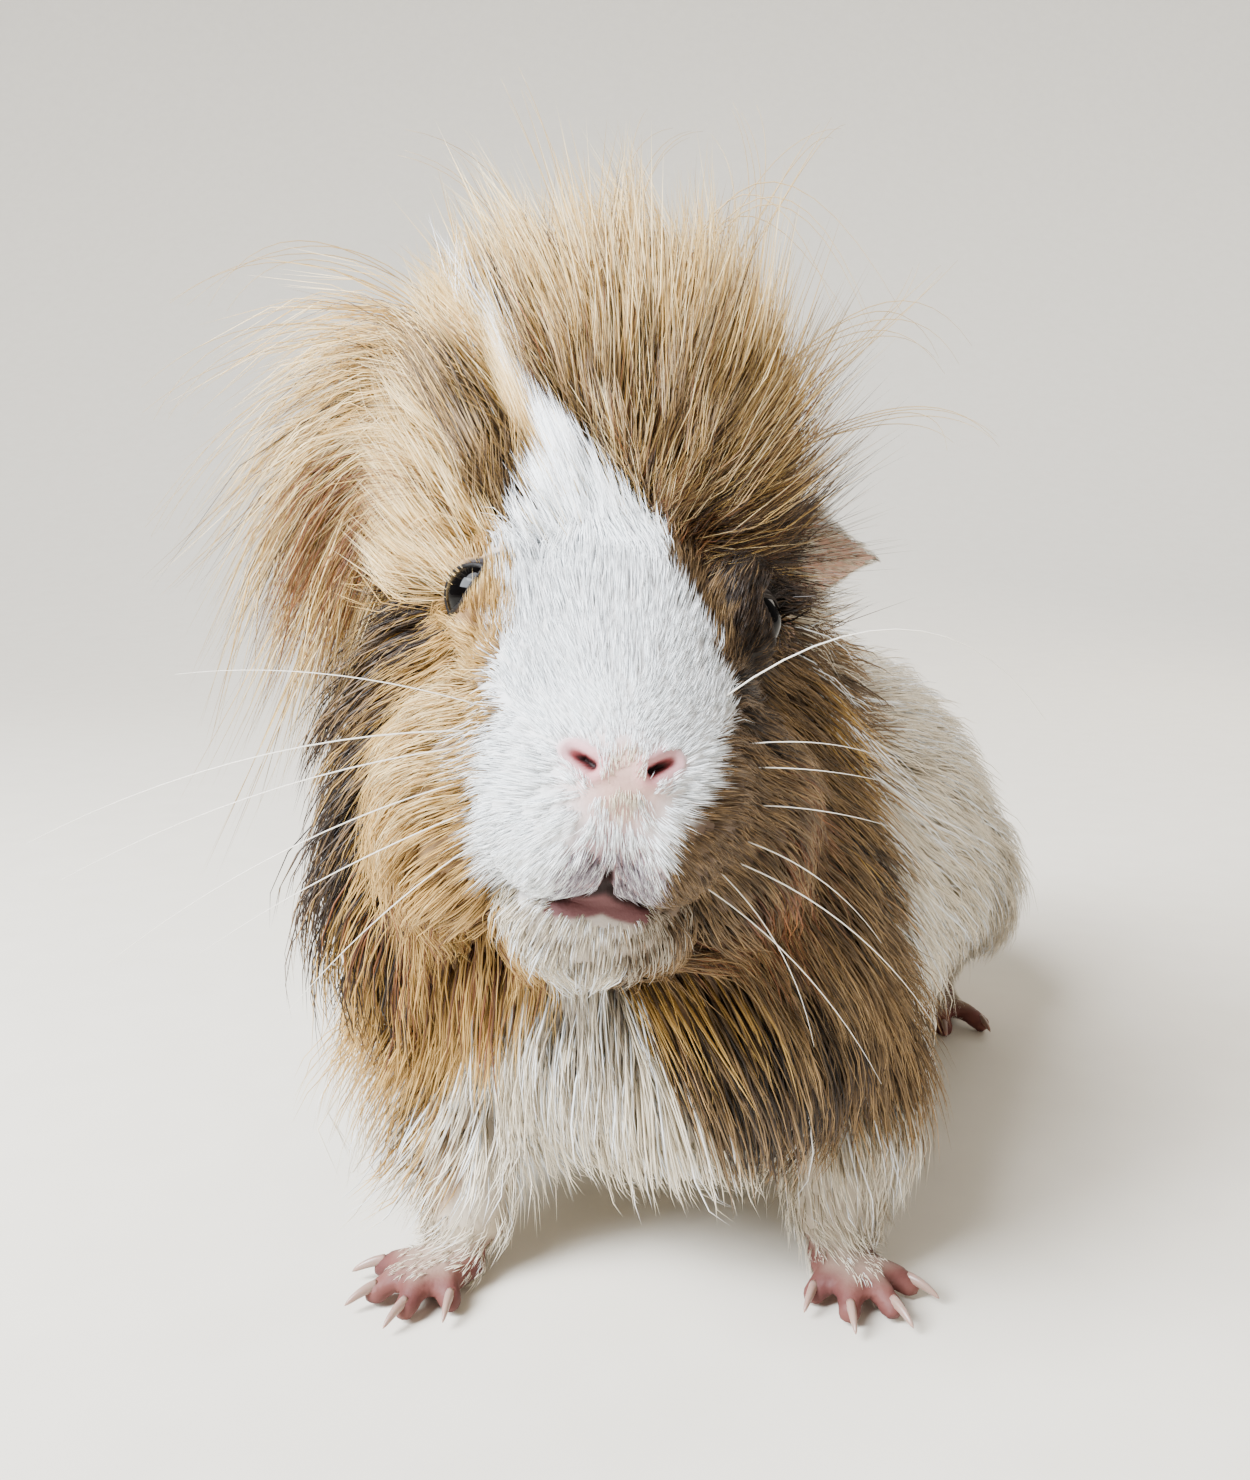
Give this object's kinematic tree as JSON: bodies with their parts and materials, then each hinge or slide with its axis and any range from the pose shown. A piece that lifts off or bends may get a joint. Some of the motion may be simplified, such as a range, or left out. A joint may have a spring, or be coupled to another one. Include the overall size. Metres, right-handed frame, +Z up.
{
  "type": "guinea pig",
  "caption": "Still, life-size guinea pig with a crested, semi-long coat, standing with its head raised and turned a little to its left.",
  "frame": {"origin": "on the floor under the middle of the animal's box, with the soles on z = 0", "axes": "+Z up, -Y the way the body faces, +X the animal's left side"},
  "size_m": [0.1266, 0.2493, 0.1757],
  "materials": {
    "coat_white": "soft white hair",
    "coat_gold": "long pale ginger hair",
    "coat_agouti": "ticked brown-grey hair with light tips",
    "ear_skin": "thin bare skin",
    "foot_skin": "pink bare skin",
    "eye": "wet and glossy",
    "claw": "pale horn"
  },
  "bodies": {
    "root": {"claw_forefoot_left_1": "claw", "claw_forefoot_left_2": "claw", "claw_forefoot_left_3": "claw", "claw_forefoot_left_4": "claw", "claw_forefoot_right_1": "claw", "claw_forefoot_right_2": "claw", "claw_forefoot_right_3": "claw", "claw_forefoot_right_4": "claw", "claw_hindfoot_left_1": "claw", "claw_hindfoot_left_2": "claw", "claw_hindfoot_left_3": "claw", "claw_hindfoot_right_1": "claw", "claw_hindfoot_right_2": "claw", "claw_hindfoot_right_3": "claw", "crest": "coat_agouti", "ear_left": "ear_skin", "ear_right": "ear_skin", "eye_left": "eye", "eye_right": "eye", "forefoot_left": "foot_skin", "forefoot_right": "foot_skin", "foreleg_left": "coat_white", "foreleg_right": "coat_white", "head": "coat_white", "hindfoot_left": "foot_skin", "hindfoot_right": "foot_skin", "hindleg_left": "coat_white", "hindleg_right": "coat_white", "lower_jaw": "coat_white", "neck": "coat_gold", "rump": "coat_white", "shoulders": "coat_white", "side_lock": "coat_gold", "trunk": "coat_white"}
  },
  "joints": []
}
